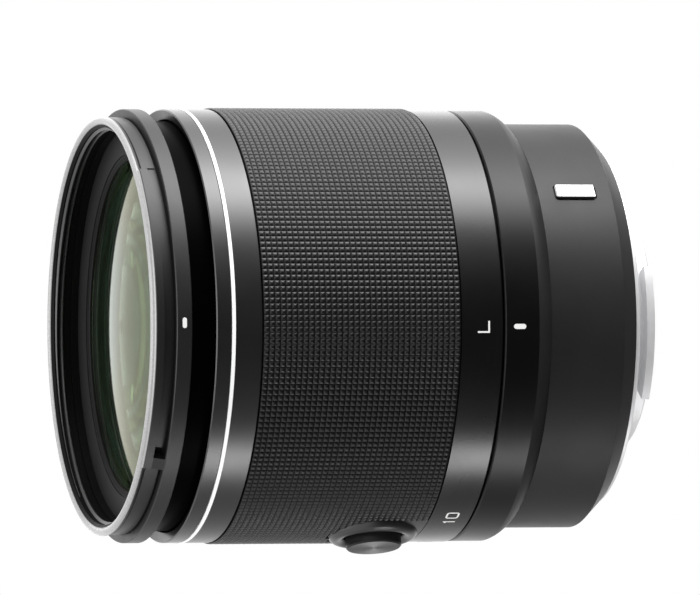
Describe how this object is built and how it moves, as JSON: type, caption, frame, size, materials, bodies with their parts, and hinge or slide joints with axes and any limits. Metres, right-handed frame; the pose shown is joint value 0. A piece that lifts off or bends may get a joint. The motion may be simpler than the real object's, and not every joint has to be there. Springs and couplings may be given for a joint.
{
  "type": "camera zoom lens",
  "caption": "Extending superzoom camera lens with a knurled zoom ring, a lock button, a filter thread and a metal bayonet mount.",
  "frame": {"origin": "centre of the mount's seat, on the optical axis", "axes": "+Z along the optical axis towards the front glass; -Y towards the index line"},
  "size_m": [0.0619, 0.0604, 0.0749],
  "materials": {
    "satin_black": "satin black anodised",
    "barrel_black": "matt black anodised",
    "trim_black": "matt black moulding",
    "inner_black": "matt black moulding",
    "grip_rubber": "knurled rubber",
    "accent_silver": "pale satin silver",
    "index_chrome": "satin chrome",
    "mount_steel": "turned and plated",
    "steel": "plain",
    "button_metal": "turned black face",
    "inner_metal": "black anodised",
    "glass": "coated",
    "gold": "gold plated",
    "brass": "turned",
    "copper": "enamelled winding",
    "board_green": "solder mask",
    "felt": "flocked",
    "blade_black": "dry film"
  },
  "bodies": {
    "barrel": {"rear_barrel": "satin_black", "mount_plate": "mount_steel", "mount_screws": "steel", "mount_index": "index_chrome", "contact_block": "trim_black", "contact_pins": "gold", "rear_baffle": "trim_black", "rear_cell": "inner_black", "rear_lens": "glass", "circuit_board": "board_green", "guide_tube": "inner_metal", "cam_retainer": "steel", "variator_cell": "inner_black", "variator_front_lens": "glass", "variator_rear_lens": "glass", "focus_housing": "inner_black", "focus_rods": "steel", "focus_motor": "steel"},
    "zoom_ring": {"zoom_ring": "satin_black", "zoom_grip": "grip_rubber", "accent_ring": "accent_silver", "cam_barrel": "inner_metal", "barrel_seal": "felt", "button_boss": "satin_black", "lock_spring": "steel"},
    "lock_button": {"lock_button": "button_metal"},
    "front_group": {"front_barrel": "barrel_black", "front_ring": "satin_black", "front_cell": "inner_black", "name_ring": "trim_black", "front_retainer": "trim_black", "front_lens": "glass", "second_lens": "glass", "front_followers": "brass"},
    "relay_group": {"relay_cell": "inner_black", "relay_followers": "brass", "relay_front_lens": "glass", "relay_rear_lens": "glass", "iris_base": "inner_black", "iris_cover": "inner_black", "stabiliser_magnets": "steel"},
    "stabiliser_guide": {"stabiliser_guide": "steel"},
    "stabiliser_frame": {"stabiliser_frame": "inner_black", "stabiliser_coils": "copper", "stabiliser_lens": "glass"},
    "iris_ring": {"iris_ring": "steel"},
    "focus_carriage": {"focus_carriage": "inner_black", "focus_lens": "glass"},
    "focus_screw": {"focus_screw": "steel"},
    "iris_blade_1": {"iris_blade_1": "blade_black"},
    "iris_blade_2": {"iris_blade_2": "blade_black"},
    "iris_blade_3": {"iris_blade_3": "blade_black"},
    "iris_blade_4": {"iris_blade_4": "blade_black"},
    "iris_blade_5": {"iris_blade_5": "blade_black"},
    "iris_blade_6": {"iris_blade_6": "blade_black"},
    "iris_blade_7": {"iris_blade_7": "blade_black"}
  },
  "joints": [
    {"name": "zoom_turn", "type": "hinge", "parent": "barrel", "child": "zoom_ring", "pos_m": [0, 0, 0.04], "axis": [0, 0, 1], "range_deg": [0, 150]},
    {"name": "front_slide", "type": "slide", "parent": "barrel", "child": "front_group", "axis": [0, 0, 1], "range_m": [0, 0.0292]},
    {"name": "relay_slide", "type": "slide", "parent": "barrel", "child": "relay_group", "axis": [0, 0, 1], "range_m": [0, 0.0086]},
    {"name": "lock_press", "type": "slide", "parent": "zoom_ring", "child": "lock_button", "axis": [0.9659, 0.2588, 0], "range_m": [0, 0.0009], "stiffness_N_per_m": 1200, "springref_m": -0.0006, "deforming": ["lock_spring"]},
    {"name": "focus_slide", "type": "slide", "parent": "barrel", "child": "focus_carriage", "axis": [0, 0, 1], "range_m": [0, 0.004]},
    {"name": "focus_screw_spin", "type": "hinge", "parent": "barrel", "child": "focus_screw", "pos_m": [0, -0.01468, 0.012], "axis": [0, 0, 1], "range_deg": [0, 1440]},
    {"name": "stabiliser_x", "type": "slide", "parent": "relay_group", "child": "stabiliser_guide", "axis": [1, 0, 0], "range_m": [-0.0008, 0.0008], "stiffness_N_per_m": 120},
    {"name": "stabiliser_y", "type": "slide", "parent": "stabiliser_guide", "child": "stabiliser_frame", "axis": [0, 1, 0], "range_m": [-0.0008, 0.0008], "stiffness_N_per_m": 120},
    {"name": "iris_turn", "type": "hinge", "parent": "relay_group", "child": "iris_ring", "pos_m": [0, 0, 0.032], "axis": [0, 0, 1], "range_deg": [0, 15]},
    {"name": "iris_blade_1_swing", "type": "hinge", "parent": "relay_group", "child": "iris_blade_1", "pos_m": [0, -0.0145, 0.031], "axis": [0, 0, 1], "range_deg": [0, 30]},
    {"name": "iris_blade_2_swing", "type": "hinge", "parent": "relay_group", "child": "iris_blade_2", "pos_m": [0.01134, -0.00904, 0.031], "axis": [0, 0, 1], "range_deg": [0, 30]},
    {"name": "iris_blade_3_swing", "type": "hinge", "parent": "relay_group", "child": "iris_blade_3", "pos_m": [0.01414, 0.00323, 0.031], "axis": [0, 0, 1], "range_deg": [0, 30]},
    {"name": "iris_blade_4_swing", "type": "hinge", "parent": "relay_group", "child": "iris_blade_4", "pos_m": [0.00629, 0.01306, 0.031], "axis": [0, 0, 1], "range_deg": [0, 30]},
    {"name": "iris_blade_5_swing", "type": "hinge", "parent": "relay_group", "child": "iris_blade_5", "pos_m": [-0.00629, 0.01306, 0.031], "axis": [0, 0, 1], "range_deg": [0, 30]},
    {"name": "iris_blade_6_swing", "type": "hinge", "parent": "relay_group", "child": "iris_blade_6", "pos_m": [-0.01414, 0.00323, 0.031], "axis": [0, 0, 1], "range_deg": [0, 30]},
    {"name": "iris_blade_7_swing", "type": "hinge", "parent": "relay_group", "child": "iris_blade_7", "pos_m": [-0.01134, -0.00904, 0.031], "axis": [0, 0, 1], "range_deg": [0, 30]}
  ],
  "couplings": [
    {"joint": "front_slide", "follows": "zoom_turn", "m_per_rad": 0.011154},
    {"joint": "relay_slide", "follows": "zoom_turn", "m_per_rad": 0.003285},
    {"joint": "focus_screw_spin", "follows": "focus_slide", "rad_per_m": 6283.2},
    {"joint": "iris_blade_1_swing", "follows": "iris_turn", "ratio": 2},
    {"joint": "iris_blade_2_swing", "follows": "iris_turn", "ratio": 2},
    {"joint": "iris_blade_3_swing", "follows": "iris_turn", "ratio": 2},
    {"joint": "iris_blade_4_swing", "follows": "iris_turn", "ratio": 2},
    {"joint": "iris_blade_5_swing", "follows": "iris_turn", "ratio": 2},
    {"joint": "iris_blade_6_swing", "follows": "iris_turn", "ratio": 2},
    {"joint": "iris_blade_7_swing", "follows": "iris_turn", "ratio": 2}
  ]
}
